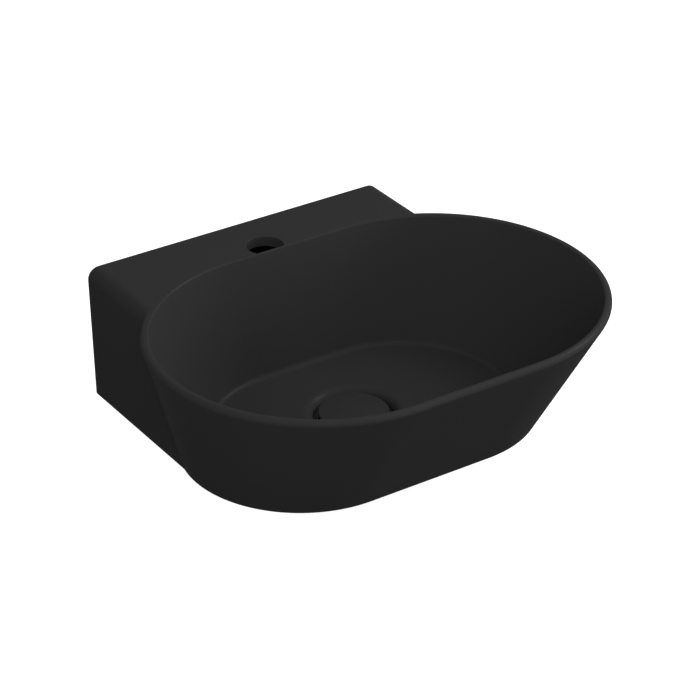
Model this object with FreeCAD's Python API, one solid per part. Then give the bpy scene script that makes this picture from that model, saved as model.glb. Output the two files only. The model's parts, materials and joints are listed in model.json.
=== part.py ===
import FreeCAD, Part
import math
import os

# Wall-hung washbasin with a tap ledge and a push-open waste, in millimetres.
# X runs along the wall, the wall is the plane Y = 0 and the bowl reaches to -Y, Z is up.
# The shapes are drawn with Z = 0 at the foot of the basin; save() then sets the origin
# at the middle of the two wall fixing holes, on the wall plane.

V = FreeCAD.Vector
UP = V(0, 0, 1)
BACK = V(0, 1, 0)
FULL_TURN = 360.0
OVERRUN = 1.0
LEVEL_TOLERANCE = 1e-4

# Basin: outside
basin_height = 135.0
rim_width = 446.0
rim_depth = 321.0
rim_back_gap = 53.5
base_width = 354.0
base_depth = 225.0
base_back_gap = 71.5
bowl_offset = 18.0
foot_edge_round = 1.2

# Basin: inside
rim_wall = 8.8
rim_round_share = 0.826
lip_round_share = 0.295
floor_height = 16.0
floor_end_wall = 24.0
floor_long_wall = 12.0
floor_fillet = 6.0

# Basin: tap ledge
ledge_width = 321.0
ledge_draft = 2.8
ledge_side_round = 11.5
ledge_foot_round = 3.5
ledge_back_round = 1.2
ledge_wall = 9.0
ledge_seam_inset = 6.0
back_wall = 9.0
deck_wall = 10.0
cavity_depth = 112.0
cavity_round = 7.0
tap_hole_radius = 17.5
tap_centre_gap = 51.2
tap_flat_land = 1.3
tap_mouth_bevel = 0.8

# Basin: wall fixings
bolt_spacing = 240.0
bolt_height = 95.0
bolt_hole_radius = 7.0
bolt_pad_radius = 19.0
bolt_pad_depth = 5.0

# Basin: underside, and the waste outlet with its place across and out from the wall
foot_width = 14.0
foot_depth = 4.0
outlet_pad_radius = 36.0
outlet_hole_radius = 23.0
outlet_seat_height = 7.0
outlet_recess_radius = 37.5
drain_offset = 13.5
drain_gap = 180.0

# Waste: fixed body, a flange on a tube that has the outside size of a pipe thread
flange_gasket_thickness = 1.5
flange_radius = 34.5
flange_thickness = 2.0
flange_edge_round = 0.8
waste_thread_radius = 20.95
waste_bore_radius = 18.2
waste_bore_bevel = 1.2
waste_length = 66.0
waste_foot_bevel = 1.0
spider_height = 8.0
spider_floor_gap = 6.0
spider_arm_thickness = 3.0
spider_arm_count = 3
spider_hub_radius = 9.0

# Waste: clamping pieces under the basin
thread_clearance = 0.05
gasket_bore_clearance = 0.4
lower_gasket_thickness = 6.0
lower_gasket_radius = 33.0
lower_gasket_toe = 4.5
friction_washer_thickness = 1.2
friction_washer_radius = 31.0
back_nut_height = 12.0
back_nut_flats = 50.0
back_nut_collar_radius = 30.0
back_nut_collar_height = 3.0

# Waste: plug head
plug_lift = 8.0
seal_gap = 0.3
cap_radius = 33.0
cap_edge_height = 3.0
cap_edge_round = 1.0
cap_dome_rise = 2.6
cap_pocket_depth = 1.8
seal_outer_radius = 24.0
seal_inner_radius = 19.6
seal_thickness = 1.4
carrier_lip = 0.3
carrier_hub_radius = 8.0
carrier_hub_length = 6.5
fit_clearance = 0.05

# Waste: push latch under the plug head
stem_radius = 4.0
lock_nut_height = 3.5
lock_nut_flats = 13.0
sleeve_radius = 8.8
sleeve_bore_radius = 7.2
sleeve_base_wall = 2.0
stud_radius = 5.0
collar_head_height = 5.0
collar_head_flats = 15.0
collar_spigot_length = 5.0
collar_gap = 1.5
wiper_width = 1.5
rib_count = 4
rib_inner_radius = 6.4
rib_arc_share = 0.5
rib_run_on = 2.0
key_gap_share = 0.1
crown_height = 5.0
crown_radius = 6.2
latch_gap = 1.0
latch_ring_height = 6.0
latch_lug_height = 3.0
latch_lug_radius = 7.0
latch_bore_radius = 3.0
latch_tooth_depth = 1.1
spigot_run_on = 1.5
spring_wire_radius = 0.5
spring_coil_radius = 5.2
spring_turns = 5
spring_end_gap = 0.1
wire_sides = 8

# Levels up the drain's axis, worked out from the pieces that stack there
flange_under = outlet_seat_height + flange_gasket_thickness
flange_top = flange_under + flange_thickness
seal_under = flange_top + seal_gap
cap_under = seal_under + seal_thickness
waste_foot = flange_under - waste_length
spider_foot = waste_foot + spider_floor_gap
spider_top = spider_foot + spider_height
hub_under = seal_under - carrier_hub_length
nut_under = hub_under - lock_nut_height
collar_top = nut_under - collar_gap
sleeve_top = collar_top - collar_head_height
rib_top = sleeve_top - collar_spigot_length
rib_foot = rib_top - rib_run_on - plug_lift - crown_height
latch_top = rib_foot - latch_gap
latch_foot = latch_top - latch_ring_height
crown_foot = latch_top + latch_gap
crown_top = crown_foot + crown_height
sleeve_floor = spider_top + sleeve_base_wall
drain_centre = V(drain_offset, -drain_gap, 0)


def save(name, shape):
    placed = shape.copy()
    placed.translate(V(0, 0, -bolt_height))
    placed.exportStep("parts/" + name + ".step")


def at_drain(shape):
    shape.translate(drain_centre)
    return shape


# Forms used by more than one piece

def oblong(width, depth, back_gap, z):
    """Outline with two straight sides along X and two half-round ends."""
    radius = depth / 2
    reach = width / 2 - radius
    middle = -(back_gap + radius)
    left = bowl_offset - reach
    right = bowl_offset + reach
    corners = [V(left, middle + radius, z), V(right, middle + radius, z)]
    corners += [V(right, middle - radius, z), V(left, middle - radius, z)]
    right_end = Part.Arc(corners[1], V(right + radius, middle, z), corners[2]).toShape()
    left_end = Part.Arc(corners[3], V(left - radius, middle, z), corners[0]).toShape()
    back_side = Part.makeLine(corners[0], corners[1])
    front_side = Part.makeLine(corners[2], corners[3])
    return Part.Wire([back_side, right_end, front_side, left_end])


def trapezoid_block(foot_half, top_half, z_low, z_high, y_back, y_front):
    """Block along Y whose sides lean, with a level foot and top."""
    corners = [V(-foot_half, y_back, z_low), V(foot_half, y_back, z_low)]
    corners += [V(top_half, y_back, z_high), V(-top_half, y_back, z_high)]
    return Part.Face(Part.makePolygon(corners + corners[:1])).extrude(BACK * (y_front - y_back))


def ruled_solid(wires):
    return Part.makeLoft(wires, True, True)


def edges_at_height(shape, z):
    """Edges that lie in the level plane at z."""
    found = []
    for edge in shape.Edges:
        box = edge.BoundBox
        if abs(box.ZMin - z) < LEVEL_TOLERANCE and abs(box.ZMax - z) < LEVEL_TOLERANCE:
            found.append(edge)
    return found


def tube(outer_radius, inner_radius, z_low, z_high):
    height = z_high - z_low
    solid = Part.makeCylinder(outer_radius, height, V(0, 0, z_low))
    hole = Part.makeCylinder(inner_radius, height + 2 * OVERRUN, V(0, 0, z_low - OVERRUN))
    return solid.cut(hole)


def turned(profile):
    """Solid of revolution about Z from (radius, height) points."""
    points = [V(radius, 0, z) for radius, z in profile]
    face = Part.Face(Part.makePolygon(points + points[:1]))
    return face.revolve(V(0, 0, 0), UP, FULL_TURN)


def hexagon_prism(across_flats, z_low, height):
    sides = 6
    corner_radius = across_flats / 2 / math.cos(math.pi / sides)
    points = []
    for side in range(sides + 1):
        angle = 2 * math.pi * side / sides
        points.append(V(corner_radius * math.cos(angle), corner_radius * math.sin(angle), z_low))
    return Part.Face(Part.makePolygon(points)).extrude(UP * height)


# The basin

def level_share(z):
    return z / basin_height


def between(at_foot, at_rim, z):
    return at_foot + (at_rim - at_foot) * level_share(z)


def bowl_plain():
    """The outside of the bowl with sharp edges."""
    foot = oblong(base_width, base_depth, base_back_gap, 0)
    rim = oblong(rim_width, rim_depth, rim_back_gap, basin_height)
    return ruled_solid([foot, rim])


def rim_outline(inset, z):
    return oblong(rim_width - 2 * inset, rim_depth - 2 * inset, rim_back_gap + inset, z)


def bowl_hollow():
    """The hollow of the bowl with sharp edges, from its floor to its rim."""
    width = between(base_width, rim_width, floor_height) - 2 * floor_end_wall
    depth = between(base_depth, rim_depth, floor_height) - 2 * floor_long_wall
    back_gap = between(base_back_gap, rim_back_gap, floor_height) + floor_long_wall
    floor = oblong(width, depth, back_gap, floor_height)
    return ruled_solid([floor, rim_outline(rim_wall, basin_height)])


def rim_edges(shape, of_lip):
    """Edges in the rim's level plane: those of the inner lip, or else the others."""
    lip_zone = rim_outline(rim_wall - OVERRUN, basin_height).BoundBox
    level = edges_at_height(shape, basin_height)
    return [edge for edge in level if lip_zone.isInside(edge.BoundBox) == of_lip]


def rim_round():
    """Radius whose rounding takes its share of the rim's width where the bowl leans out most."""
    front_lean = rim_back_gap + rim_depth - base_back_gap - base_depth
    end_lean = (rim_width - base_width) / 2
    corner = math.pi / 2 - math.atan(max(front_lean, end_lean) / basin_height)
    return rim_round_share * rim_wall * math.tan(corner / 2)


def bowl_shell():
    """The bowl by itself, with its rim, lip, floor and foot rounded."""
    shell = bowl_plain().cut(bowl_hollow())
    shell = shell.makeFillet(rim_round(), rim_edges(shell, False))
    shell = shell.makeFillet(lip_round_share * rim_wall, rim_edges(shell, True))
    shell = shell.makeFillet(floor_fillet, edges_at_height(shell, floor_height))
    return shell.makeFillet(foot_edge_round, edges_at_height(shell, 0))


def bowl_core():
    """The bowl's volume inside the seam where the ledge joins its wall."""
    seam = ledge_seam_inset
    foot = oblong(base_width - 2 * seam, base_depth - 2 * seam, base_back_gap + seam, 0)
    return ruled_solid([foot, rim_outline(seam, basin_height)])


def ledge_half(z):
    return ledge_width / 2 - ledge_draft * (1 - level_share(z))


def runs_back(edge):
    return edge.BoundBox.YLength > edge.BoundBox.XLength


def at_wall(edge):
    return edge.BoundBox.YMin > -LEVEL_TOLERANCE


def ledge_block():
    front = -(base_back_gap + base_depth / 2)
    block = trapezoid_block(ledge_half(0), ledge_half(basin_height), 0, basin_height, 0, front)
    deck_sides = [edge for edge in edges_at_height(block, basin_height) if runs_back(edge)]
    block = block.makeFillet(ledge_side_round, deck_sides)
    foot_sides = [edge for edge in edges_at_height(block, 0) if runs_back(edge)]
    block = block.makeFillet(ledge_foot_round, foot_sides)
    return block.makeFillet(ledge_back_round, [edge for edge in block.Edges if at_wall(edge)])


def ledge_cavity():
    """The hollow under the deck, open below, between the back wall and the bowl."""
    top = basin_height - deck_wall
    foot_half = ledge_half(-OVERRUN) - ledge_wall
    roof_half = ledge_half(top) - ledge_wall
    hollow = trapezoid_block(foot_half, roof_half, -OVERRUN, top, -back_wall, -cavity_depth)
    upright = [edge for edge in hollow.Edges if edge.BoundBox.ZLength > top]
    back_corners = [edge for edge in upright if edge.BoundBox.YMin > -cavity_depth / 2]
    hollow = hollow.makeFillet(cavity_round, back_corners)
    hollow = hollow.cut(bowl_plain())
    for side in (-1, 1):
        hollow = hollow.cut(bolt_pad(side))
    return hollow


def bolt_pad(side):
    """A thicker round of back wall about a wall fixing hole."""
    centre = V(side * bolt_spacing / 2, 0, bolt_height)
    return Part.makeCylinder(bolt_pad_radius, back_wall + bolt_pad_depth, centre, -BACK)


def bolt_hole(side):
    length = back_wall + bolt_pad_depth + 2 * OVERRUN
    centre = V(side * bolt_spacing / 2, OVERRUN, bolt_height)
    return Part.makeCylinder(bolt_hole_radius, length, centre, -BACK)


def tap_outline(grow, z):
    """Round tap hole whose front is cut flat behind the bowl's inner wall."""
    radius = tap_hole_radius + grow
    flat = rim_back_gap + rim_wall - tap_flat_land + grow
    drop = flat - tap_centre_gap
    half_chord = math.sqrt(radius ** 2 - drop ** 2)
    left = V(-half_chord, -flat, z)
    right = V(half_chord, -flat, z)
    arc = Part.Arc(right, V(0, radius - tap_centre_gap, z), left).toShape()
    return Part.Wire([Part.makeLine(left, right), arc])


def tap_hole():
    """Straight hole, clear down behind the bowl, with a fine bevel at its mouth."""
    shaft_foot = basin_height / 2
    shaft = Part.Face(tap_outline(0, shaft_foot)).extrude(UP * (basin_height - shaft_foot + OVERRUN))
    bevel_foot = tap_outline(0, basin_height - tap_mouth_bevel)
    bevel_top = tap_outline(tap_mouth_bevel, basin_height)
    bevel = ruled_solid([bevel_foot, bevel_top])
    return shaft.fuse(bevel)


def foot_recess():
    """Shallow recess inside the foot ring, round the pad of the waste outlet."""
    width = base_width - 2 * foot_width
    depth = base_depth - 2 * foot_width
    outline = oblong(width, depth, base_back_gap + foot_width, -OVERRUN)
    recess = Part.Face(outline).extrude(UP * (foot_depth + OVERRUN))
    pad = at_drain(Part.makeCylinder(outlet_pad_radius, foot_depth + OVERRUN, V(0, 0, -OVERRUN)))
    return recess.cut(pad)


def outlet():
    """Recess that the plug sits in, with a rounded lip, and the hole below it."""
    lip = floor_height - outlet_seat_height
    mouth = outlet_recess_radius + lip
    seat = outlet_seat_height
    bend = V(mouth - lip * math.cos(math.pi / 4), 0, seat + lip * math.sin(math.pi / 4))
    top = floor_height + OVERRUN
    edges = [
        Part.makeLine(V(0, 0, seat), V(outlet_recess_radius, 0, seat)),
        Part.Arc(V(outlet_recess_radius, 0, seat), bend, V(mouth, 0, floor_height)).toShape(),
        Part.makeLine(V(mouth, 0, floor_height), V(mouth, 0, top)),
        Part.makeLine(V(mouth, 0, top), V(0, 0, top)),
        Part.makeLine(V(0, 0, top), V(0, 0, seat)),
    ]
    recess = Part.Face(Part.Wire(edges)).revolve(V(0, 0, 0), UP, FULL_TURN)
    hole = Part.makeCylinder(outlet_hole_radius, seat + 2 * OVERRUN, V(0, 0, -OVERRUN))
    return at_drain(recess.fuse(hole))


def basin_body():
    ledge = ledge_block().cut(bowl_core())
    body = bowl_shell().fuse(ledge).removeSplitter()
    body = body.cut(ledge_cavity())
    for side in (-1, 1):
        body = body.cut(bolt_hole(side))
    body = body.cut(tap_hole())
    body = body.cut(foot_recess())
    return body.cut(outlet())


# The waste's fixed pieces

def spider():
    """Arms and hub across the waste's bore, which carry the push latch."""
    hub = Part.makeCylinder(spider_hub_radius, spider_height, V(0, 0, spider_foot))
    reach = (waste_bore_radius + waste_thread_radius) / 2
    corner = V(0, -spider_arm_thickness / 2, spider_foot)
    for arm in range(spider_arm_count):
        bar = Part.makeBox(reach, spider_arm_thickness, spider_height, corner)
        bar.rotate(V(0, 0, 0), UP, FULL_TURN * arm / spider_arm_count)
        hub = hub.fuse(bar)
    bore_radius = stud_radius + fit_clearance
    bore = Part.makeCylinder(bore_radius, spider_height + 2 * OVERRUN, V(0, 0, spider_foot - OVERRUN))
    return hub.cut(bore)


def waste_body():
    mouth_radius = waste_bore_radius + waste_bore_bevel
    profile = [(mouth_radius, flange_top), (flange_radius - flange_edge_round, flange_top)]
    profile += [(flange_radius, flange_top - flange_edge_round), (flange_radius, flange_under)]
    profile.append((waste_thread_radius, flange_under))
    profile.append((waste_thread_radius, waste_foot + waste_foot_bevel))
    profile.append((waste_thread_radius - waste_foot_bevel, waste_foot))
    profile += [(waste_bore_radius, waste_foot), (waste_bore_radius, flange_top - waste_bore_bevel)]
    return at_drain(turned(profile).fuse(spider()).removeSplitter())


def flange_gasket():
    outer = flange_radius - flange_edge_round
    return at_drain(tube(outer, outlet_hole_radius, outlet_seat_height, flange_under))


def lower_gasket():
    bore = waste_thread_radius + gasket_bore_clearance
    foot = -lower_gasket_thickness
    toe = lower_gasket_radius - lower_gasket_toe
    middle = foot + lower_gasket_thickness / 2
    profile = [(bore, 0), (lower_gasket_radius, 0), (lower_gasket_radius, middle)]
    profile += [(toe, foot), (bore, foot)]
    return at_drain(turned(profile))


def friction_washer():
    bore = waste_thread_radius + gasket_bore_clearance
    top = -lower_gasket_thickness
    return at_drain(tube(friction_washer_radius, bore, top - friction_washer_thickness, top))


def back_nut():
    top = -lower_gasket_thickness - friction_washer_thickness
    foot = top - back_nut_height
    nut = hexagon_prism(back_nut_flats, foot, back_nut_height)
    collar_foot = top - back_nut_collar_height
    collar = Part.makeCylinder(back_nut_collar_radius, back_nut_collar_height, V(0, 0, collar_foot))
    bore_radius = waste_thread_radius + thread_clearance
    bore = Part.makeCylinder(bore_radius, back_nut_height + 2 * OVERRUN, V(0, 0, foot - OVERRUN))
    return at_drain(nut.fuse(collar).removeSplitter().cut(bore))


# The plug head

def drain_cap():
    """Low dome with a rounded edge and a pocket for its carrier underneath."""
    edge_top = cap_under + cap_edge_height
    crown = edge_top + cap_dome_rise
    rounded = cap_radius - cap_edge_round
    mid_radius = rounded / 2
    dome_radius = (rounded ** 2 + cap_dome_rise ** 2) / (2 * cap_dome_rise)
    mid_height = crown - dome_radius + math.sqrt(dome_radius ** 2 - mid_radius ** 2)
    bend = cap_edge_round * (1 - math.cos(math.pi / 4))
    pocket = seal_outer_radius + carrier_lip + fit_clearance
    pocket_top = cap_under + cap_pocket_depth
    edges = [
        Part.Arc(V(0, 0, crown), V(mid_radius, 0, mid_height), V(rounded, 0, edge_top)).toShape(),
        Part.Arc(
            V(rounded, 0, edge_top),
            V(cap_radius - bend, 0, edge_top - bend),
            V(cap_radius, 0, edge_top - cap_edge_round),
        ).toShape(),
        Part.makeLine(V(cap_radius, 0, edge_top - cap_edge_round), V(cap_radius, 0, cap_under)),
        Part.makeLine(V(cap_radius, 0, cap_under), V(pocket, 0, cap_under)),
        Part.makeLine(V(pocket, 0, cap_under), V(pocket, 0, pocket_top)),
        Part.makeLine(V(pocket, 0, pocket_top), V(0, 0, pocket_top)),
        Part.makeLine(V(0, 0, pocket_top), V(0, 0, crown)),
    ]
    return at_drain(Part.Face(Part.Wire(edges)).revolve(V(0, 0, 0), UP, FULL_TURN))


def cap_carrier():
    """Disc bonded into the cap, with a step for the seal and a threaded hub."""
    plate_radius = seal_outer_radius + carrier_lip
    step_radius = seal_inner_radius - fit_clearance
    top = cap_under + cap_pocket_depth
    thread = stem_radius + fit_clearance
    profile = [(0, top), (plate_radius, top), (plate_radius, cap_under), (step_radius, cap_under)]
    profile += [(step_radius, seal_under), (carrier_hub_radius, seal_under)]
    profile += [(carrier_hub_radius, hub_under), (thread, hub_under), (thread, cap_under)]
    profile.append((0, cap_under))
    return at_drain(turned(profile))


def plug_seal():
    return at_drain(tube(seal_outer_radius, seal_inner_radius, seal_under, cap_under))


def lock_nut():
    nut = hexagon_prism(lock_nut_flats, nut_under, lock_nut_height)
    bore_radius = stem_radius + fit_clearance
    bore = Part.makeCylinder(bore_radius, lock_nut_height + 2 * OVERRUN, V(0, 0, nut_under - OVERRUN))
    return at_drain(nut.cut(bore))


# The push latch

def sectors(z_low, z_high, inner_radius, outer_radius, fill_share, start_share):
    """Equal blocks round the axis, each filling a share of its pitch."""
    pitch = FULL_TURN / rib_count
    height = z_high - z_low
    blocks = []
    for rib in range(rib_count):
        block = Part.makeCylinder(outer_radius, height, V(0, 0, z_low), UP, pitch * fill_share)
        block.rotate(V(0, 0, 0), UP, pitch * (rib + start_share))
        blocks.append(block)
    core = Part.makeCylinder(inner_radius, height + 2 * OVERRUN, V(0, 0, z_low - OVERRUN))
    return blocks[0].multiFuse(blocks[1:]).cut(core)


def keys(z_low, z_high):
    """Lugs that fit the grooves between the sleeve's ribs."""
    fill_share = 1 - rib_arc_share - key_gap_share
    start_share = rib_arc_share + key_gap_share / 2
    return sectors(z_low, z_high, stem_radius, latch_lug_radius, fill_share, start_share)


def saw_teeth(z_root, depth):
    """Ring of saw teeth about the axis that stand on z_root, or hang from it at a depth below 0."""
    count = 2 * rib_count
    reach = latch_lug_radius + OVERRUN
    half = reach * math.tan(math.pi / count)
    corners = [V(0, -half, z_root), V(0, half, z_root), V(0, half, z_root + depth)]
    ramp = Part.Face(Part.makePolygon(corners + corners[:1])).extrude(V(reach, 0, 0))
    pitch = FULL_TURN / count
    sector = Part.makeCylinder(reach, abs(depth), V(0, 0, min(z_root, z_root + depth)), UP, pitch)
    sector.rotate(V(0, 0, 0), UP, -pitch / 2)
    tooth = ramp.common(sector)
    teeth = []
    for index in range(count):
        turned_tooth = tooth.copy()
        turned_tooth.rotate(V(0, 0, 0), UP, pitch * index)
        teeth.append(turned_tooth)
    return teeth[0].multiFuse(teeth[1:])


def toothed(shape, z_root, depth):
    """The shape with everything past z_root taken off but its saw teeth."""
    reach = latch_lug_radius + OVERRUN
    low = min(z_root, z_root + depth)
    band = Part.makeCylinder(reach, abs(depth), V(0, 0, low))
    return shape.cut(band.cut(saw_teeth(z_root, depth)))


def plunger():
    """Stem that carries the plug head, with a toothed crown keyed between the ribs."""
    stem = Part.makeCylinder(stem_radius, cap_under - crown_top, V(0, 0, crown_top))
    crown = Part.makeCylinder(crown_radius, crown_height, V(0, 0, crown_foot))
    crown = crown.fuse(keys(crown_foot, crown_top)).removeSplitter()
    crown = toothed(crown, crown_foot + latch_tooth_depth, -latch_tooth_depth)
    spigot_foot = latch_foot - spigot_run_on
    spigot_radius = latch_bore_radius - fit_clearance
    spigot = Part.makeCylinder(spigot_radius, crown_top - spigot_foot, V(0, 0, spigot_foot))
    return at_drain(stem.multiFuse([crown, spigot]).removeSplitter())


def latch_ring():
    """Toothed ring that steps round and rests under the ribs or between them."""
    ring = tube(crown_radius, latch_bore_radius, latch_foot, latch_top)
    lugs = keys(latch_top - latch_lug_height, latch_top)
    ring = ring.fuse(lugs).removeSplitter()
    return at_drain(toothed(ring, latch_top - latch_tooth_depth, latch_tooth_depth))


def cartridge_sleeve():
    shell = tube(sleeve_radius, sleeve_bore_radius, sleeve_floor, sleeve_top)
    base = Part.makeCylinder(sleeve_radius, sleeve_base_wall, V(0, 0, spider_top))
    stud = Part.makeCylinder(stud_radius, spider_height, V(0, 0, spider_foot))
    sunk = (sleeve_radius + sleeve_bore_radius) / 2
    ribs = sectors(rib_foot, rib_top, rib_inner_radius, sunk, rib_arc_share, 0)
    return at_drain(shell.fuse(base).fuse(stud).fuse(ribs).removeSplitter())


def cartridge_collar():
    """Nut that closes the sleeve and guides the stem, with a seat for the wiper."""
    head = hexagon_prism(collar_head_flats, sleeve_top, collar_head_height)
    spigot_radius = sleeve_bore_radius - fit_clearance
    spigot = Part.makeCylinder(spigot_radius, collar_spigot_length, V(0, 0, rib_top))
    bore_length = collar_top - rib_top + 2 * OVERRUN
    bore = Part.makeCylinder(stem_radius + fit_clearance, bore_length, V(0, 0, rib_top - OVERRUN))
    seat_radius = wiper_outer_radius() + fit_clearance
    seat = Part.makeCylinder(seat_radius, wiper_width + OVERRUN, V(0, 0, collar_top - wiper_width))
    return at_drain(head.fuse(spigot).removeSplitter().cut(bore).cut(seat))


def wiper_outer_radius():
    return stem_radius + fit_clearance + wiper_width


def stem_wiper():
    """Square-section rubber ring in the collar's mouth."""
    bore = stem_radius + fit_clearance
    return at_drain(tube(wiper_outer_radius(), bore, collar_top - wiper_width, collar_top))


def return_spring():
    """Coil from the sleeve's floor to the underside of the latch ring."""
    z_start = sleeve_floor + spring_end_gap + spring_wire_radius
    rise = latch_foot - spring_end_gap - spring_wire_radius - z_start
    pitch = rise / spring_turns
    print("gap between turns", pitch - 2 * spring_wire_radius)
    helix = Part.makeHelix(pitch, rise, spring_coil_radius)
    helix.translate(V(0, 0, z_start))
    start = V(spring_coil_radius, 0, z_start)
    heading = helix.Edges[0].tangentAt(helix.Edges[0].FirstParameter)
    outward = V(1, 0, 0)
    across = heading.cross(outward)
    points = []
    for side in range(wire_sides + 1):
        angle = 2 * math.pi * side / wire_sides
        offset = outward * math.cos(angle) + across * math.sin(angle)
        points.append(start + offset * spring_wire_radius)
    section = Part.makePolygon(points)
    return at_drain(Part.Wire(helix.Edges).makePipeShell([section], True, True))


def main():
    pieces = {
        "basin_body": basin_body,
        "waste_body": waste_body,
        "flange_gasket": flange_gasket,
        "lower_gasket": lower_gasket,
        "friction_washer": friction_washer,
        "back_nut": back_nut,
        "drain_cap": drain_cap,
        "cap_carrier": cap_carrier,
        "plug_seal": plug_seal,
        "lock_nut": lock_nut,
        "plunger": plunger,
        "latch_ring": latch_ring,
        "cartridge_sleeve": cartridge_sleeve,
        "cartridge_collar": cartridge_collar,
        "stem_wiper": stem_wiper,
        "return_spring": return_spring,
    }
    os.makedirs("parts", exist_ok=True)
    for name, make in pieces.items():
        shape = make()
        print(name, len(shape.Solids), round(shape.Volume), shape.isValid())
        save(name, shape)


main()
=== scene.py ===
import json
import math

import bmesh
import bpy
import numpy as np
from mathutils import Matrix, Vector


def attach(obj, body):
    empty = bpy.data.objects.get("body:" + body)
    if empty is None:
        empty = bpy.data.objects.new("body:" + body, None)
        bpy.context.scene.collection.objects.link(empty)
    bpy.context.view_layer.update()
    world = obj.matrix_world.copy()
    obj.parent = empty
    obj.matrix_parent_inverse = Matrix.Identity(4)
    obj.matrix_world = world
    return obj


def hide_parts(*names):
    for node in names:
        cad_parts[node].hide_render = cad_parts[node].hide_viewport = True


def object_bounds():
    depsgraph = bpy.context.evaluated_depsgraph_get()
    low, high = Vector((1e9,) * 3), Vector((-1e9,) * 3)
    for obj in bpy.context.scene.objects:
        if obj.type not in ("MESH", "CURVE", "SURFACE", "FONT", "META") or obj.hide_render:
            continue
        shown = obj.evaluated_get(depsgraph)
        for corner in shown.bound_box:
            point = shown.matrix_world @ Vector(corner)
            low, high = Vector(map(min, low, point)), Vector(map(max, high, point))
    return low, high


# A matte black ceramic washbasin with a push-open waste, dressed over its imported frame.
# All sizes are in metres, in the frame's own axes: X along the wall, Y into the wall, Z up,
# with the origin midway between the wall fixing holes.

MM = 0.001

# Camera of the photograph, worked out by fitting the basin's own outline
camera_place = (-1.18225, -1.95977, 1.21276)
camera_azimuth = -0.5899
camera_elevation = 0.5202
camera_focal_share = 3.88357
sensor_width = 36.0

# Basin: outside, as in the solids
foot_level = -95 * MM
basin_height = 135 * MM
rim_width = 446 * MM
rim_depth = 321 * MM
rim_back_gap = 53.5 * MM
base_width = 354 * MM
base_depth = 225 * MM
base_back_gap = 71.5 * MM
bowl_offset = 18 * MM
foot_edge_round = 1.2 * MM

# Basin: inside, with the photograph's floor, whose walls are thicker than the solids'
rim_wall = 8.8 * MM
rim_round = 4.195 * MM
lip_round = 2.596 * MM
floor_height = 16 * MM
floor_end_wall = 36 * MM
floor_long_wall = 16 * MM
floor_fillet = 6 * MM

# Basin: tap ledge
ledge_width = 321 * MM
ledge_draft = 2.8 * MM
ledge_side_round = 11.5 * MM
ledge_foot_round = 3.5 * MM
ledge_back_round = 1.2 * MM
ledge_wall = 9 * MM
ledge_seam_inset = 6 * MM
back_wall = 9 * MM
deck_wall = 10 * MM
cavity_depth = 112 * MM
cavity_round = 7 * MM
tap_hole_radius = 17.5 * MM
tap_centre_gap = 51.2 * MM
tap_flat_gap = 61 * MM
tap_mouth_bevel = 0.8 * MM

# Basin: wall fixings, underside and outlet
bolt_spacing = 240 * MM
bolt_height = 95 * MM
bolt_hole_radius = 7 * MM
bolt_pad_radius = 19 * MM
bolt_pad_depth = 5 * MM
foot_width = 14 * MM
foot_depth = 4 * MM
outlet_pad_radius = 36 * MM
outlet_hole_radius = 23 * MM
outlet_seat_height = 7 * MM
outlet_recess_radius = 37.5 * MM
drain_offset = 13.5 * MM
drain_gap = 180 * MM

# Waste: fixed pieces, as in the solids
fit_clearance = 0.05 * MM
flange_gasket_thickness = 1.5 * MM
flange_radius = 34.5 * MM
flange_thickness = 2 * MM
flange_edge_round = 0.8 * MM
waste_thread_radius = 20.95 * MM
waste_bore_radius = 18.2 * MM
waste_bore_bevel = 1.2 * MM
waste_length = 66 * MM
waste_foot_bevel = 1 * MM
spider_height = 8 * MM
spider_floor_gap = 6 * MM
spider_arm_thickness = 3 * MM
spider_arm_count = 3
spider_hub_radius = 9 * MM
stud_radius = 5 * MM
gasket_bore_clearance = 0.4 * MM
lower_gasket_thickness = 6 * MM
lower_gasket_radius = 33 * MM
lower_gasket_toe = 4.5 * MM
friction_washer_thickness = 1.2 * MM
friction_washer_radius = 31 * MM
back_nut_height = 12 * MM
back_nut_flats = 50 * MM
back_nut_sides = 6
back_nut_collar_radius = 30 * MM
back_nut_collar_height = 3 * MM

# Waste: pipe thread and eased edges, which the solids leave out
inch = 25.4 * MM
threads_per_inch = 11
thread_pitch = inch / threads_per_inch
thread_depth = 1.479 * MM
thread_flat_share = 0.12
thread_rows = 10
nut_corner_rise_share = 0.577
nut_flat_land = 0.4 * MM
nut_bore_bevel = 1.2 * MM
metal_edge_round = 0.4 * MM
rubber_edge_round = 0.7 * MM
washer_edge_round = 0.25 * MM
glaze_edge_round = 0.6 * MM

# Plug head, as in the solids
seal_gap = 0.3 * MM
seal_thickness = 1.4 * MM
seal_outer_radius = 24 * MM
carrier_lip = 0.3 * MM
cap_radius = 33 * MM
cap_edge_height = 3 * MM
cap_edge_round = 1 * MM
cap_dome_rise = 2.6 * MM
cap_pocket_depth = 1.8 * MM

# How finely the forms are divided
end_steps = 72
side_steps = 24
arc_steps = 8
round_steps = 128

wall_shares = (0.02, 0.15, 0.3, 0.45, 0.6, 0.75, 0.9, 0.98)
floor_shares = (0.02, 0.2, 0.45, 0.7, 0.9, 0.98)
support_gap = 0.6 * MM
support_from = 4 * MM
weld_distance = 0.001 * MM
overrun = 1 * MM
crease_angle = math.radians(32)

# Stage and light
camera_clip_start = 0.1
camera_clip_end = 50
backdrop_gloss_share = 0.08
floor_gloss_share = 0.08
ambient_strength = 0.23
floor_reach = 12
floor_gap = 1 * MM
floor_colour = (0.4, 0.4, 0.4, 1)
floor_glow = 0.93
lamp_target = (0.018, -0.19, -0.02)
lamp_distance = 2.6
lamp_size = 1.1

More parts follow.
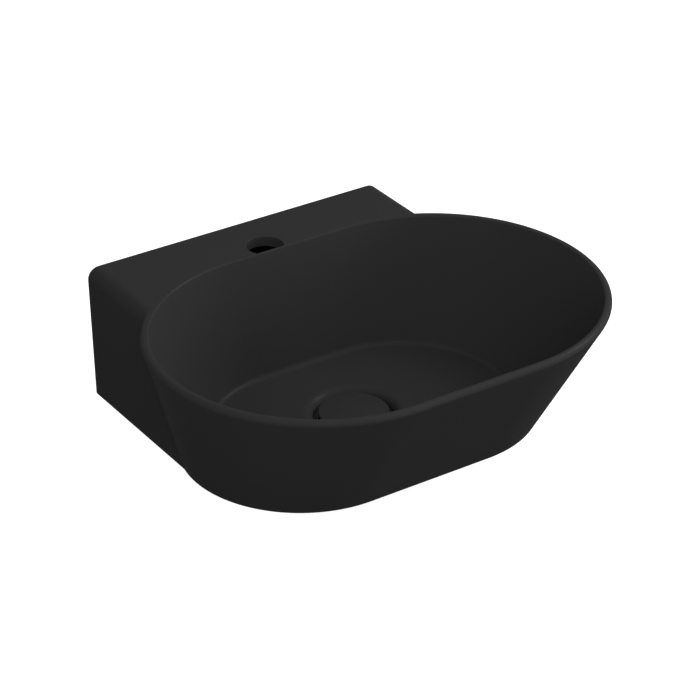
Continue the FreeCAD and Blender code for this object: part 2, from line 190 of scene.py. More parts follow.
# Each lamp's name, direction round from the front, height in degrees, power, and if it shows in gloss
lamps = (
    ("right", 78, 36, 32, True),
    ("right_high", 58, 48, 27, False),
    ("right_low", 62, 4, 38, False),
    ("front_left", -30, 46, 28, False),
    ("left", -68, 28, 21, False),
    ("front_right_low", 20, 12, 8, False),
)

# Colours and finishes
glaze_colour = (0.022, 0.022, 0.0222)
glaze_roughness = 0.3
glaze_specular = 0.02
chrome_colour = (0.55, 0.55, 0.56)
brass_colour = (0.62, 0.5, 0.26)
rubber_colour = (0.02, 0.02, 0.02)
acetal_colour = (0.75, 0.75, 0.72)
steel_colour = (0.5, 0.5, 0.5)
glaze_cloud_size = 60 * MM
glaze_cloud_share = 0.02
glaze_grain_size = 0.5 * MM
glaze_grain_depth = 0.004 * MM
glaze_roughness_spread = 0.04
chrome_roughness = 0.12
chrome_cloud_size = 9 * MM
chrome_cloud_share = 0.04
chrome_wave_depth = 0.01 * MM
brass_roughness = 0.32
steel_roughness = 0.36
turning_pitch = 0.25 * MM
turning_detail = 3
turning_depth = 0.006 * MM
turning_roughness_spread = 0.08
turning_stain_size = 7 * MM
turning_stain_share = 0.1
rubber_roughness = 0.62
rubber_specular = 0.3
acetal_roughness = 0.42
acetal_specular = 0.45
mould_grain_size = 0.4 * MM
mould_grain_depth = 0.008 * MM
mould_mottle_size = 5 * MM
mould_mottle_share = 0.06
mould_roughness_spread = 0.06

# Levels over the basin's foot
FULL = 2 * math.pi
drain = Vector((drain_offset, -drain_gap, 0))
flange_under = outlet_seat_height + flange_gasket_thickness
flange_top = flange_under + flange_thickness
waste_foot = flange_under - waste_length
spider_foot = waste_foot + spider_floor_gap
spider_top = spider_foot + spider_height
washer_top = -lower_gasket_thickness
nut_top = washer_top - friction_washer_thickness
nut_foot = nut_top - back_nut_height
cap_under = flange_top + seal_gap + seal_thickness


# Camera, stage and light

def make_camera():
    forward = Vector((
        -math.sin(camera_azimuth) * math.cos(camera_elevation),
        math.cos(camera_azimuth) * math.cos(camera_elevation),
        -math.sin(camera_elevation),
    ))
    data = bpy.data.cameras.new("camera")
    data.sensor_width = sensor_width
    data.lens = sensor_width * camera_focal_share
    data.clip_start = camera_clip_start
    data.clip_end = camera_clip_end
    camera = bpy.data.objects.new("camera", data)
    camera.location = camera_place
    camera.rotation_mode = "QUATERNION"
    camera.rotation_quaternion = forward.to_track_quat("-Z", "Y")
    bpy.context.scene.collection.objects.link(camera)
    bpy.context.scene.camera = camera


def node_of(tree, kind, **values):
    node = tree.nodes.new(kind)
    for name, value in values.items():
        setattr(node, name, value)
    return node


def seen_share(tree, gloss_share):
    """1 for what the camera or glass sees, less for what a mirror sees, 0 for light that falls on things."""
    path = tree.nodes.new("ShaderNodeLightPath")
    glossy = node_of(tree, "ShaderNodeMath", operation="MULTIPLY")
    tree.links.new(path.outputs["Is Glossy Ray"], glossy.inputs[0])
    glossy.inputs[1].default_value = gloss_share
    either = node_of(tree, "ShaderNodeMath", operation="MAXIMUM")
    tree.links.new(path.outputs["Is Camera Ray"], either.inputs[0])
    tree.links.new(glossy.outputs[0], either.inputs[1])
    both = node_of(tree, "ShaderNodeMath", operation="MAXIMUM")
    tree.links.new(either.outputs[0], both.inputs[0])
    tree.links.new(path.outputs["Is Transmission Ray"], both.inputs[1])
    return both.outputs[0]


def make_world():
    world = bpy.data.worlds.new("studio")
    bpy.context.scene.world = world
    world.use_nodes = True
    tree = world.node_tree
    tree.nodes.clear()
    out = tree.nodes.new("ShaderNodeOutputWorld")
    ambient = tree.nodes.new("ShaderNodeBackground")
    ambient.inputs["Color"].default_value = (1, 1, 1, 1)
    ambient.inputs["Strength"].default_value = ambient_strength
    backdrop = tree.nodes.new("ShaderNodeBackground")
    backdrop.inputs["Color"].default_value = (1, 1, 1, 1)
    mix = tree.nodes.new("ShaderNodeMixShader")
    tree.links.new(seen_share(tree, backdrop_gloss_share), mix.inputs[0])
    tree.links.new(ambient.outputs[0], mix.inputs[1])
    tree.links.new(backdrop.outputs[0], mix.inputs[2])
    tree.links.new(mix.outputs[0], out.inputs[0])


def make_floor():
    mesh = bpy.data.meshes.new("floor")
    reach = floor_reach
    corners = [(-reach, -reach, 0), (reach, -reach, 0), (reach, reach, 0), (-reach, reach, 0)]
    mesh.from_pydata(corners, [], [(0, 1, 2, 3)])
    floor = bpy.data.objects.new("floor", mesh)
    floor.location.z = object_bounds()[0].z - floor_gap
    bpy.context.scene.collection.objects.link(floor)
    mesh.materials.append(floor_material())


def floor_material():
    """Pale and matte, white to the camera, and clear from below."""
    material = bpy.data.materials.new("floor_white")
    material.use_nodes = True
    tree = material.node_tree
    tree.nodes.clear()
    out = tree.nodes.new("ShaderNodeOutputMaterial")
    matte = tree.nodes.new("ShaderNodeBsdfDiffuse")
    matte.inputs["Color"].default_value = floor_colour
    path = tree.nodes.new("ShaderNodeLightPath")
    glow = tree.nodes.new("ShaderNodeEmission")
    share = node_of(tree, "ShaderNodeMath", operation="MULTIPLY")
    tree.links.new(seen_share(tree, floor_gloss_share), share.inputs[0])
    share.inputs[1].default_value = floor_glow
    tree.links.new(share.outputs[0], glow.inputs["Strength"])
    lit = tree.nodes.new("ShaderNodeAddShader")
    tree.links.new(matte.outputs[0], lit.inputs[0])
    tree.links.new(glow.outputs[0], lit.inputs[1])
    both = tree.nodes.new("ShaderNodeMixShader")
    tree.links.new(path.outputs["Is Glossy Ray"], both.inputs[0])
    tree.links.new(lit.outputs[0], both.inputs[1])
    tree.links.new(glow.outputs[0], both.inputs[2])
    clear = tree.nodes.new("ShaderNodeBsdfTransparent")
    side = tree.nodes.new("ShaderNodeNewGeometry")
    one_sided = tree.nodes.new("ShaderNodeMixShader")
    tree.links.new(side.outputs["Backfacing"], one_sided.inputs[0])
    tree.links.new(both.outputs[0], one_sided.inputs[1])
    tree.links.new(clear.outputs[0], one_sided.inputs[2])
    tree.links.new(one_sided.outputs[0], out.inputs[0])
    return material


def make_lamp(name, round_from_front, height, power, in_gloss):
    turn = math.radians(round_from_front)
    rise = math.radians(height)
    away = Vector((
        math.sin(turn) * math.cos(rise),
        -math.cos(turn) * math.cos(rise),
        math.sin(rise),
    ))
    data = bpy.data.lights.new(name, "AREA")
    data.shape = "DISK"
    data.size = lamp_size
    data.energy = power
    lamp = bpy.data.objects.new(name, data)
    lamp.location = Vector(lamp_target) + away * lamp_distance
    lamp.rotation_mode = "QUATERNION"
    lamp.rotation_quaternion = (-away).to_track_quat("-Z", "Y")
    lamp.visible_glossy = in_gloss
    bpy.context.scene.collection.objects.link(lamp)


# Meshes

def add_object(name, mesh, body=None):
    thing = bpy.data.objects.new(name, mesh)
    bpy.context.scene.collection.objects.link(thing)
    if body:
        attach(thing, body)
    return thing


def oblong(width, depth, back_gap):
    """Points round an outline with two straight sides along X and two half-round ends."""
    radius = depth / 2
    reach = width / 2 - radius
    middle = -(back_gap + radius)
    points = []
    for step in range(side_steps):
        points.append((bowl_offset + reach * (2 * step / side_steps - 1), middle + radius))
    for step in range(end_steps):
        angle = math.pi / 2 - math.pi * step / end_steps
        x = bowl_offset + reach + radius * math.cos(angle)
        points.append((x, middle + radius * math.sin(angle)))
    for step in range(side_steps):
        points.append((bowl_offset + reach * (1 - 2 * step / side_steps), middle - radius))
    for step in range(end_steps):
        angle = -math.pi / 2 - math.pi * step / end_steps
        x = bowl_offset - reach + radius * math.cos(angle)
        points.append((x, middle + radius * math.sin(angle)))
    return np.array(points)


def at_level(outline, z):
    return np.column_stack([outline, np.full(len(outline), z)])


def unit(vectors):
    return vectors / np.linalg.norm(vectors, axis=1, keepdims=True)


def rounded(corner, first, second, radius):
    """Rows of an arc of that radius in each corner, from towards first to towards second."""
    a = unit(first - corner)
    b = unit(second - corner)
    half = np.arccos(np.clip((a * b).sum(1), -1, 1))[:, None] / 2
    start = corner + a * radius / np.tan(half)
    end = corner + b * radius / np.tan(half)
    centre = corner + unit(a + b) * radius / np.sin(half)
    sweep = math.pi - 2 * half
    rows = []
    for step in range(arc_steps + 1):
        share = step / arc_steps
        towards_start = np.sin((1 - share) * sweep) / np.sin(sweep)
        towards_end = np.sin(share * sweep) / np.sin(sweep)
        rows.append(centre + (start - centre) * towards_start + (end - centre) * towards_end)
    return rows


def spread(start, end, shares):
    return [start + (end - start) * share for share in shares]


def between(at_foot, at_rim, z):
    return at_foot + (at_rim - at_foot) * z / basin_height


def ring_round_drain(outline, radius, z):
    """A circle about the drain whose points lie in the directions of the outline's points."""
    offset = outline - np.array([drain.x, drain.y])
    offset = offset / np.linalg.norm(offset, axis=1, keepdims=True)
    return at_level(np.array([drain.x, drain.y]) + offset * radius, z)


def foot_rows(base):
    """Rows of the underside: the outlet's pad, the recess round it and the foot ring's inside."""
    foot = oblong(base_width - 2 * foot_width, base_depth - 2 * foot_width, base_back_gap + foot_width)
    return [
        ring_round_drain(base, outlet_hole_radius, 0),
        ring_round_drain(base, outlet_pad_radius, 0),
        ring_round_drain(base, outlet_pad_radius, foot_depth),
        at_level(foot, foot_depth),
        at_level(foot, 0),
    ]


def outlet_rows(base):
    """Rows of the plug's recess, from its rounded mouth down to the outlet's hole."""
    lip_radius = floor_height - outlet_seat_height
    rows = []
    for step in range(arc_steps + 1):
        angle = math.pi / 2 * step / arc_steps
        radius = outlet_recess_radius + lip_radius * (1 - math.sin(angle))
        z = outlet_seat_height + lip_radius * math.cos(angle)
        rows.append(ring_round_drain(base, radius, z))
    rows.append(ring_round_drain(base, outlet_hole_radius, outlet_seat_height))
    return rows


def bowl_rows():
    """Rows of the bowl's closed section, from the outlet's foot round the outside and back."""
    rim = oblong(rim_width, rim_depth, rim_back_gap)
    lip = oblong(rim_width - 2 * rim_wall, rim_depth - 2 * rim_wall, rim_back_gap + rim_wall)
    base = oblong(base_width, base_depth, base_back_gap)
    width = between(base_width, rim_width, floor_height) - 2 * floor_end_wall
    depth = between(base_depth, rim_depth, floor_height) - 2 * floor_long_wall
    back_gap = between(base_back_gap, rim_back_gap, floor_height) + floor_long_wall
    floor = oblong(width, depth, back_gap)
    inner = floor_fillet * 2
    inner_floor = oblong(width - 2 * inner, depth - 2 * inner, back_gap + inner)
    underside = foot_rows(base)
    outlet = outlet_rows(base)
    foot_corner = at_level(base, 0)
    rim_corner = at_level(rim, basin_height)
    lip_corner = at_level(lip, basin_height)
    floor_corner = at_level(floor, floor_height)
    foot_arc = rounded(foot_corner, underside[-1], rim_corner, foot_edge_round)
    rim_arc = rounded(rim_corner, foot_corner, lip_corner, rim_round)
    lip_arc = rounded(lip_corner, rim_corner, floor_corner, lip_round)
    floor_arc = rounded(floor_corner, lip_corner, at_level(inner_floor, floor_height), floor_fillet)
    rows = underside + foot_arc
    rows += spread(foot_arc[-1], rim_arc[0], wall_shares)
    rows += rim_arc + lip_arc
    rows += spread(lip_arc[-1], floor_arc[0], wall_shares)
    rows += floor_arc
    rows += spread(floor_arc[-1], outlet[0], floor_shares)
    return rows + outlet


def rows_mesh(name, rows, closed=True):
    """A mesh through rings of points, the last ring joined to the first if closed."""
    count = len(rows[0])
    points = np.concatenate(rows)
    points[:, 2] += foot_level
    faces = []
    for row in range(len(rows) if closed else len(rows) - 1):
        after = (row + 1) % len(rows)
        for step in range(count):
            beside = (step + 1) % count
            faces.append((
                row * count + step,
                row * count + beside,
                after * count + beside,
                after * count + step,
            ))
    return finished_mesh(name, points, faces)


def prism_mesh(name, rows):
    """A mesh through closed rows of points, with the first and last rows capped."""
    count = len(rows[0])
    points = np.concatenate(rows)
    points[:, 2] += foot_level
    faces = [tuple(range(count)), tuple(range(len(points) - count, len(points)))]
    for row in range(len(rows) - 1):
        for step in range(count):
            beside = (step + 1) % count
            faces.append((
                row * count + step,
                row * count + beside,
                (row + 1) * count + beside,
                (row + 1) * count + step,
            ))
    return finished_mesh(name, points, faces)


def finished_mesh(name, points, faces):
    mesh = bpy.data.meshes.new(name)
    mesh.from_pydata([tuple(point) for point in points], [], faces)
    work = bmesh.new()
    work.from_mesh(mesh)
    bmesh.ops.remove_doubles(work, verts=work.verts, dist=weld_distance)
    bmesh.ops.recalc_face_normals(work, faces=work.faces)
    work.to_mesh(mesh)
    work.free()
    return mesh


def combine(target, cutter, operation):
    """target becomes its union with, or difference from, cutter."""
    step = target.modifiers.new("step", "BOOLEAN")
    step.operation = operation
    step.solver = "EXACT"
    step.object = cutter
    graph = bpy.context.evaluated_depsgraph_get()
    made = bpy.data.meshes.new_from_object(target.evaluated_get(graph))
    target.modifiers.clear()
    target.data = made
    bpy.data.objects.remove(cutter)


def eased(corners):
    """Points round a closed section given as corners of (across, up, rounding)."""
    points = []
    for index, (across, up, radius) in enumerate(corners):
        if not radius:
            points.append((across, up))
            continue
        before = corners[index - 1]
        after = corners[(index + 1) % len(corners)]
        corner = np.array([[across, 0, up]])
        first = np.array([[before[0], 0, before[1]]])
        second = np.array([[after[0], 0, after[1]]])
        for row in rounded(corner, first, second, radius):
            points.append((row[0][0], row[0][2]))
    return points


def ring_at(radius, z):
    """A ring about the drain's axis; its radius is one number, or one for each step."""
    angles = FULL * np.arange(round_steps) / round_steps
    x = drain.x + radius * np.cos(angles)
    return np.column_stack([x, drain.y + radius * np.sin(angles), np.full(round_steps, z)])


def turned_mesh(name, section, closed=True):
    return rows_mesh(name, [ring_at(radius, z) for radius, z in section], closed)


def tube_mesh(name, outer_radius, inner_radius, z_low, z_high, rounding):
    return turned_mesh(name, eased([
        (inner_radius, z_low, rounding),
        (outer_radius, z_low, rounding),
        (outer_radius, z_high, rounding),
        (inner_radius, z_high, rounding),
    ]))


def joined(name, meshes):
    """One mesh that holds the meshes side by side."""
    work = bmesh.new()
    for mesh in meshes:
        work.from_mesh(mesh)
    whole = bpy.data.meshes.new(name)
    work.to_mesh(whole)
    work.free()
    return whole


def ledge_half(z):
    return ledge_width / 2 - ledge_draft * (1 - z / basin_height)


def ledge_section(inset, y):
    """Section of the ledge across Y: sides drawn in, top corners and foot corners rounded."""
    top, foot = basin_height - inset, inset
    points = eased([
        (-ledge_half(foot) + inset, foot, ledge_foot_round - inset),
        (-ledge_half(top) + inset, top, ledge_side_round - inset),
        (ledge_half(top) - inset, top, ledge_side_round - inset),
        (ledge_half(foot) - inset, foot, ledge_foot_round - inset),
    ])
    supported = []
    for index, point in enumerate(points):
        supported.append(point)
        follower = points[(index + 1) % len(points)]
        length = math.dist(point, follower)
        if length > support_from:
            for share in (support_gap / length, 1 - support_gap / length):
                supported.append((
                    point[0] + (follower[0] - point[0]) * share,
                    point[1] + (follower[1] - point[1]) * share,
                ))
    return np.array([(x, y, z) for x, z in supported])


def ledge_mesh():
    rows = []
    for step in range(arc_steps + 1):
        angle = math.pi / 2 * step / arc_steps
        inset = ledge_back_round * (1 - math.sin(angle))
        rows.append(ledge_section(inset, -ledge_back_round * (1 - math.cos(angle))))
    rows.append(ledge_section(0, -ledge_back_round - support_gap))
    rows.append(ledge_section(0, -(base_back_gap + base_depth / 2)))
    return prism_mesh("ledge", rows)


def cavity_mesh():
    """Hollow under the deck with rounded upright corners at the back."""
    roof = basin_height - deck_wall
    rows = []
    for z in (-overrun, roof):
        half = ledge_half(z) - ledge_wall
        outline = [(-half, -cavity_depth), (half, -cavity_depth)]
        for side in (1, -1):
            corner = np.array([[side * half, -back_wall, 0]])
            ahead = np.array([[side * half, -cavity_depth, 0]])
            across = np.array([[-side * half, -back_wall, 0]])
            ends = (ahead, across) if side > 0 else (across, ahead)
            for row in rounded(corner, *ends, cavity_round):
                outline.append((row[0][0], row[0][1]))
        rows.append(at_level(np.array(outline), z))
    return prism_mesh("cavity", rows)


def core_mesh():
    seam = ledge_seam_inset
    foot = oblong(base_width - 2 * seam, base_depth - 2 * seam, base_back_gap + seam)
    rim = oblong(rim_width - 2 * seam, rim_depth - 2 * seam, rim_back_gap + seam)
    past = overrun / basin_height
    low = at_level(foot, 0)
    high = at_level(rim, basin_height)
    return prism_mesh("core", [low + (low - high) * past, high + (high - low) * past])


def round_bar(name, radius, x, z, y_front, y_back):
    rows = []
    for y in (y_front, y_back):
        angles = FULL * np.arange(round_steps) / round_steps
        ring = [(x + radius * math.cos(a), y, z + radius * math.sin(a)) for a in angles]
        rows.append(np.array(ring))
    return prism_mesh(name, rows)


def tap_hole_mesh():
    """D-shaped shaft with its flat to the front, widening at its mouth."""
    rows = []
    levels = [(0, basin_height / 2), (0, basin_height - tap_mouth_bevel)]
    for step in range(1, arc_steps + 1):
        angle = math.pi / 2 * step / arc_steps
        levels.append((
            tap_mouth_bevel * (1 - math.cos(angle)),
            basin_height - tap_mouth_bevel * (1 - math.sin(angle)),
        ))
    levels.append((tap_mouth_bevel, basin_height + overrun))
    for grow, z in levels:
        radius = tap_hole_radius + grow
        flat = tap_flat_gap + grow
        edge = math.acos((flat - tap_centre_gap) / radius)
        outline = []
        for step in range(round_steps + 1):
            angle = -math.pi / 2 + edge + (FULL - 2 * edge) * step / round_steps
            outline.append((radius * math.cos(angle), -tap_centre_gap + radius * math.sin(angle)))
        for step in range(1, side_steps):
            share = step / side_steps
            outline.append((outline[round_steps][0] * (1 - 2 * share), -flat))
        rows.append(at_level(np.array(outline), z))
    return prism_mesh("tap_hole", rows)


def basin_glaze():
    basin = add_object("basin_glaze", ledge_mesh())
    combine(basin, add_object("cavity", cavity_mesh()), "DIFFERENCE")
    for side in (-1, 1):
        x = side * bolt_spacing / 2
        pad = round_bar("pad", bolt_pad_radius, x, bolt_height, -back_wall - bolt_pad_depth, -back_wall / 2)
        combine(basin, add_object("pad", pad), "UNION")
    combine(basin, add_object("core", core_mesh()), "DIFFERENCE")
    combine(basin, add_object("bowl", rows_mesh("bowl", bowl_rows())), "UNION")
    for side in (-1, 1):
        x = side * bolt_spacing / 2
        hole = round_bar("hole", bolt_hole_radius, x, bolt_height, -2 * back_wall, overrun)
        combine(basin, add_object("hole", hole), "DIFFERENCE")
    combine(basin, add_object("tap", tap_hole_mesh()), "DIFFERENCE")
    return basin


# Waste and plug

def thread_ring(z):
    """A ring of the pipe thread, whose crest climbs one pitch in a turn."""
    turns = z / thread_pitch - np.arange(round_steps) / round_steps
    flank = np.abs(2 * (turns - np.floor(turns)) - 1)
    sunk = np.clip((flank - thread_flat_share) / (1 - 2 * thread_flat_share), 0, 1)
    return ring_at(waste_thread_radius - thread_depth * sunk, z)


def waste_tube():
    """The waste's flange and tail, threaded from inside its nut to its foot."""
    head = eased([
        (waste_bore_radius, waste_foot, 0),
        (waste_bore_radius, flange_top, waste_bore_bevel),
        (flange_radius, flange_top, flange_edge_round),
        (flange_radius, flange_under, 0),
        (waste_thread_radius, flange_under, 0),
        (waste_thread_radius, nut_top, 0),
    ])
    rows = [ring_at(radius, z) for radius, z in head]
    foot = waste_foot + waste_foot_bevel
    count = round((nut_top - foot) / thread_pitch * thread_rows)
    for row in range(1, count):
        rows.append(thread_ring(nut_top + (foot - nut_top) * row / count))
    core = waste_thread_radius - thread_depth
    rows.append(ring_at(core, foot))
    rows.append(ring_at(core, waste_foot))
    return rows_mesh("waste_tube", rows)


def spider_arms():
    reach = (waste_bore_radius + waste_thread_radius - thread_depth) / 2
    half = spider_arm_thickness / 2
    start = stud_radius + fit_clearance
    outline = eased([(start, -half, 0), (reach, -half, 0), (reach, half, 0), (start, half, 0)])
    meshes = []
    for arm in range(spider_arm_count):
        turn = FULL * arm / spider_arm_count
        points = []
        for along, across in outline:
            x = drain.x + along * math.cos(turn) - across * math.sin(turn)
            points.append((x, drain.y + along * math.sin(turn) + across * math.cos(turn)))
        rows = [at_level(np.array(points), z) for z in (spider_foot, spider_top)]
        meshes.append(prism_mesh("arm", rows))
    return meshes


def waste_piece():
    bore = stud_radius + fit_clearance
    hub = tube_mesh("hub", spider_hub_radius, bore, spider_foot, spider_top, metal_edge_round)
    return add_object("waste_threaded", joined("waste_threaded", [waste_tube(), hub, *spider_arms()]))


def nut_piece():
    """Hexagon with its corners turned off at the foot, a collar above and a bevelled bore."""
    corner_radius = back_nut_flats / 2 / math.cos(math.pi / back_nut_sides)
    points = []
    for side in range(back_nut_sides):
        turn = FULL * side / back_nut_sides
        points.append((drain.x + corner_radius * math.cos(turn), drain.y + corner_radius * math.sin(turn)))
    rows = [at_level(np.array(points), z) for z in (nut_foot, nut_top)]
    nut = add_object("back_nut_turned", prism_mesh("back_nut_turned", rows))
    land = back_nut_flats / 2 - nut_flat_land
    past = corner_radius + overrun
    rise = (past - land) * nut_corner_rise_share
    barrel = [(0, nut_foot), (land, nut_foot), (past, nut_foot + rise), (past, nut_top), (0, nut_top)]
    combine(nut, add_object("barrel", turned_mesh("barrel", barrel, False)), "INTERSECT")
    collar = eased([
        (stud_radius, nut_top - back_nut_collar_height, 0),
        (back_nut_collar_radius, nut_top - back_nut_collar_height, metal_edge_round),
        (back_nut_collar_radius, nut_top, metal_edge_round),
        (stud_radius, nut_top, 0),
    ])
    combine(nut, add_object("collar", turned_mesh("collar", collar)), "UNION")
    bore = waste_thread_radius + fit_clearance
    mouth = bore + nut_bore_bevel
    hole = [(0, nut_foot - overrun), (mouth + overrun, nut_foot - overrun)]
    hole += [(bore, nut_foot + nut_bore_bevel), (bore, nut_top + overrun), (0, nut_top + overrun)]
    combine(nut, add_object("bore", turned_mesh("bore", hole, False)), "DIFFERENCE")
    return nut


def gasket_piece():
    bore = waste_thread_radius + gasket_bore_clearance
    toe = lower_gasket_radius - lower_gasket_toe
    section = eased([
        (bore, washer_top, 0),
        (toe, washer_top, rubber_edge_round),
        (lower_gasket_radius, washer_top / 2, rubber_edge_round),
        (lower_gasket_radius, 0, rubber_edge_round),
        (bore, 0, 0),
    ])
    return add_object("lower_gasket_moulded", turned_mesh("lower_gasket_moulded", section))


def washer_piece():
    bore = waste_thread_radius + gasket_bore_clearance
    mesh = tube_mesh("washer", friction_washer_radius, bore, nut_top, washer_top, washer_edge_round)
    return add_object("friction_washer_moulded", mesh)


def cap_piece():
    """Low dome with a rounded edge, an eased foot and a pocket for its carrier."""
    edge_top = cap_under + cap_edge_height
    inside = cap_radius - cap_edge_round
    dome_radius = (inside ** 2 + cap_dome_rise ** 2) / (2 * cap_dome_rise)
    centre = edge_top + cap_dome_rise - dome_radius
    section = []
    for step in range(side_steps):
        radius = inside * step / side_steps
        section.append((radius, centre + math.sqrt(dome_radius ** 2 - radius ** 2)))
    for step in range(arc_steps + 1):
        angle = math.pi / 2 * step / arc_steps
        across = inside + cap_edge_round * math.sin(angle)
        section.append((across, edge_top - cap_edge_round * (1 - math.cos(angle))))
    for step in range(arc_steps + 1):
        angle = math.pi / 2 * step / arc_steps
        across = cap_radius - glaze_edge_round * (1 - math.cos(angle))
        section.append((across, cap_under + glaze_edge_round * (1 - math.sin(angle))))
    pocket = seal_outer_radius + carrier_lip + fit_clearance
    pocket_top = cap_under + cap_pocket_depth
    section += [(pocket, cap_under), (pocket, pocket_top), (0, pocket_top)]
    return add_object("drain_cap_glaze", turned_mesh("drain_cap_glaze", section, False))


def stand_for(piece, body, node, slot):
    """The piece rides on the body, stands for the node and takes the slot's finish."""
    for polygon in piece.data.polygons:
        polygon.use_smooth = True
    piece.data.set_sharp_from_angle(angle=crease_angle)
    weigh = piece.modifiers.new("weigh", "WEIGHTED_NORMAL")
    weigh.keep_sharp = True
    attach(piece, body)
    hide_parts(node)
    dress(piece, materials[slot])


# Materials

def new_material(name):
    material = bpy.data.materials.new(name)
    material.use_nodes = True
    tree = material.node_tree
    return material, tree, tree.nodes["Principled BSDF"]


def object_place(tree):
    """Where a point lies on its own object, in metres."""
    return tree.nodes.new("ShaderNodeTexCoord").outputs["Object"]


def noise_of(tree, place, size, detail=2.0):
    """Soft noise whose patches are about that size."""
    noise = tree.nodes.new("ShaderNodeTexNoise")
    noise.inputs["Scale"].default_value = 1 / size
    noise.inputs["Detail"].default_value = detail
    tree.links.new(place, noise.inputs["Vector"])
    return noise.outputs["Fac"]


def ranged(tree, value, low, high):
    """The value, 0 to 1, brought between low and high."""
    scale = tree.nodes.new("ShaderNodeMapRange")
    scale.inputs["To Min"].default_value = low
    scale.inputs["To Max"].default_value = high
    tree.links.new(value, scale.inputs["Value"])
    return scale.outputs["Result"]


def shade_between(tree, value, colour, spread_share):
    """The colour, darker and paler by that share as the value runs from 0 to 1."""
    mix = tree.nodes.new("ShaderNodeMix")
    mix.data_type = "RGBA"
    dark = [channel * (1 - spread_share) for channel in colour]
    pale = [channel * (1 + spread_share) for channel in colour]
    mix.inputs["A"].default_value = (*dark, 1)
    mix.inputs["B"].default_value = (*pale, 1)
    tree.links.new(value, mix.inputs["Factor"])
    return mix.outputs["Result"]


def bumped(tree, shader, height, distance, strength=1.0):
    bump = tree.nodes.new("ShaderNodeBump")
    bump.inputs["Strength"].default_value = strength
    bump.inputs["Distance"].default_value = distance
    tree.links.new(height, bump.inputs["Height"])
    tree.links.new(bump.outputs["Normal"], shader.inputs["Normal"])


def radius_in_plan(tree, place):
    """Distance of a point from the drain's axis."""
    move = node_of(tree, "ShaderNodeVectorMath", operation="SUBTRACT")
    move.inputs[1].default_value = drain
    tree.links.new(place, move.inputs[0])
    flat = node_of(tree, "ShaderNodeVectorMath", operation="MULTIPLY")
    flat.inputs[1].default_value = (1, 1, 0)
    tree.links.new(move.outputs[0], flat.inputs[0])
    length = node_of(tree, "ShaderNodeVectorMath", operation="LENGTH")
    tree.links.new(flat.outputs[0], length.inputs[0])
    return length.outputs["Value"]


def glaze_material():
    """Matte black glaze: an even dark colour, a fine satin grain and slight unevenness."""
    material, tree, shader = new_material("matte_black_glaze")
    place = object_place(tree)
    cloud = noise_of(tree, place, glaze_cloud_size)
    grain = noise_of(tree, place, glaze_grain_size)
    tree.links.new(shade_between(tree, cloud, glaze_colour, glaze_cloud_share), shader.inputs["Base Color"])
    least = glaze_roughness - glaze_roughness_spread
    rough = ranged(tree, grain, least, glaze_roughness + glaze_roughness_spread)
    tree.links.new(rough, shader.inputs["Roughness"])
    shader.inputs["Specular IOR Level"].default_value = glaze_specular
    bumped(tree, shader, grain, glaze_grain_depth)
    return material


def chrome_material():
    """Polished plating with the faint waviness of a plated casting."""
    material, tree, shader = new_material("polished_chrome")
    place = object_place(tree)
    cloud = noise_of(tree, place, chrome_cloud_size)
    tree.links.new(shade_between(tree, cloud, chrome_colour, chrome_cloud_share), shader.inputs["Base Color"])
    tree.links.new(ranged(tree, cloud, chrome_roughness / 2, chrome_roughness), shader.inputs["Roughness"])
    shader.inputs["Metallic"].default_value = 1
    bumped(tree, shader, cloud, chrome_wave_depth)
    return material


def turned_metal(name, colour, roughness):
    """Machined metal with fine rings round the drain's axis."""
    material, tree, shader = new_material(name)
    place = object_place(tree)
    radius = radius_in_plan(tree, place)
    height = tree.nodes.new("ShaderNodeSeparateXYZ")
    tree.links.new(place, height.inputs[0])
    along = node_of(tree, "ShaderNodeMath", operation="ADD")
    tree.links.new(radius, along.inputs[0])
    tree.links.new(height.outputs["Z"], along.inputs[1])
    line = tree.nodes.new("ShaderNodeCombineXYZ")
    tree.links.new(along.outputs[0], line.inputs["X"])
    rings = noise_of(tree, line.outputs[0], turning_pitch, turning_detail)
    stain = noise_of(tree, place, turning_stain_size)
    tree.links.new(shade_between(tree, stain, colour, turning_stain_share), shader.inputs["Base Color"])
    rough = ranged(tree, rings, roughness - turning_roughness_spread, roughness + turning_roughness_spread)
    tree.links.new(rough, shader.inputs["Roughness"])
    shader.inputs["Metallic"].default_value = 1
    bumped(tree, shader, rings, turning_depth)
    return material


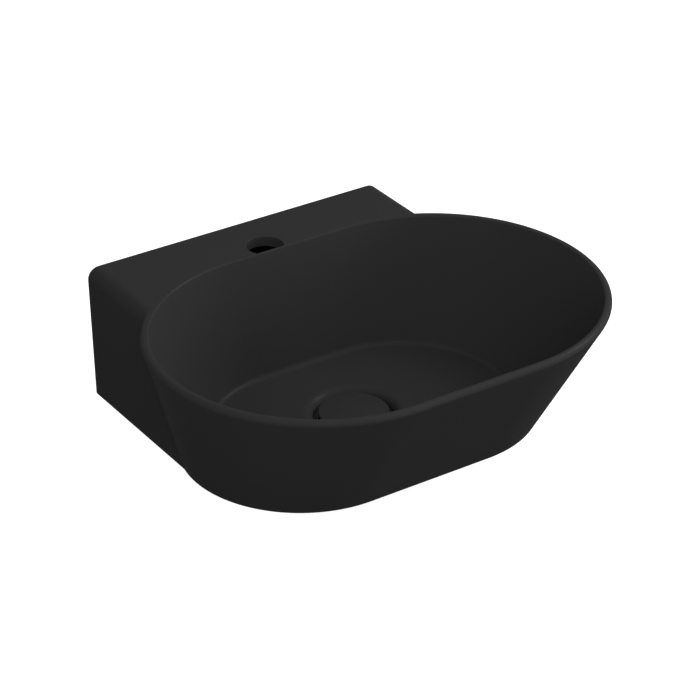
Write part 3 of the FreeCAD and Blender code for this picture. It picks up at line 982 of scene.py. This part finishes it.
def moulded(name, colour, roughness, specular):
    """Moulded rubber or plastic: a fine grain over slight mottling."""
    material, tree, shader = new_material(name)
    place = object_place(tree)
    mottle = noise_of(tree, place, mould_mottle_size)
    grain = noise_of(tree, place, mould_grain_size)
    tree.links.new(shade_between(tree, mottle, colour, mould_mottle_share), shader.inputs["Base Color"])
    rough = ranged(tree, grain, roughness - mould_roughness_spread, roughness + mould_roughness_spread)
    tree.links.new(rough, shader.inputs["Roughness"])
    shader.inputs["Specular IOR Level"].default_value = specular
    bumped(tree, shader, grain, mould_grain_depth)
    return material


def make_materials():
    """A material for each slot of the frame."""
    return {
        "black_ceramic": glaze_material(),
        "chromed_brass": chrome_material(),
        "brass": turned_metal("machined_brass", brass_colour, brass_roughness),
        "spring_steel": turned_metal("spring_steel", steel_colour, steel_roughness),
        "black_rubber": moulded("black_rubber", rubber_colour, rubber_roughness, rubber_specular),
        "white_plastic": moulded("white_acetal", acetal_colour, acetal_roughness, acetal_specular),
    }


def dress(thing, material):
    thing.data.materials.clear()
    thing.data.materials.append(material)


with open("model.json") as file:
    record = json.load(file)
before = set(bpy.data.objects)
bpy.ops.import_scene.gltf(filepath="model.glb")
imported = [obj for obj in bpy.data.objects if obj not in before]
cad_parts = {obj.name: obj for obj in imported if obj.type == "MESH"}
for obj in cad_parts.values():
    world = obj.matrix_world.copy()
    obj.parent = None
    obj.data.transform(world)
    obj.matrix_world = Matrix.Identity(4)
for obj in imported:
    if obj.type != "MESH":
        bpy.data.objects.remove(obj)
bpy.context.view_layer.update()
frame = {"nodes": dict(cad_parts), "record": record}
materials = make_materials()
stand_for(basin_glaze(), "basin", "basin_body", "black_ceramic")
stand_for(waste_piece(), "basin", "waste_body", "chromed_brass")
stand_for(nut_piece(), "basin", "back_nut", "brass")
stand_for(gasket_piece(), "basin", "lower_gasket", "black_rubber")
stand_for(washer_piece(), "basin", "friction_washer", "white_plastic")
stand_for(cap_piece(), "plug", "drain_cap", "black_ceramic")
for row in frame["record"]["subparts"]:
    dress(frame["nodes"][row["node"]], materials[row["material_slot"]])
make_camera()
make_world()
make_floor()
for lamp in lamps:
    make_lamp(*lamp)
bpy.context.scene.view_settings.view_transform = "Standard"
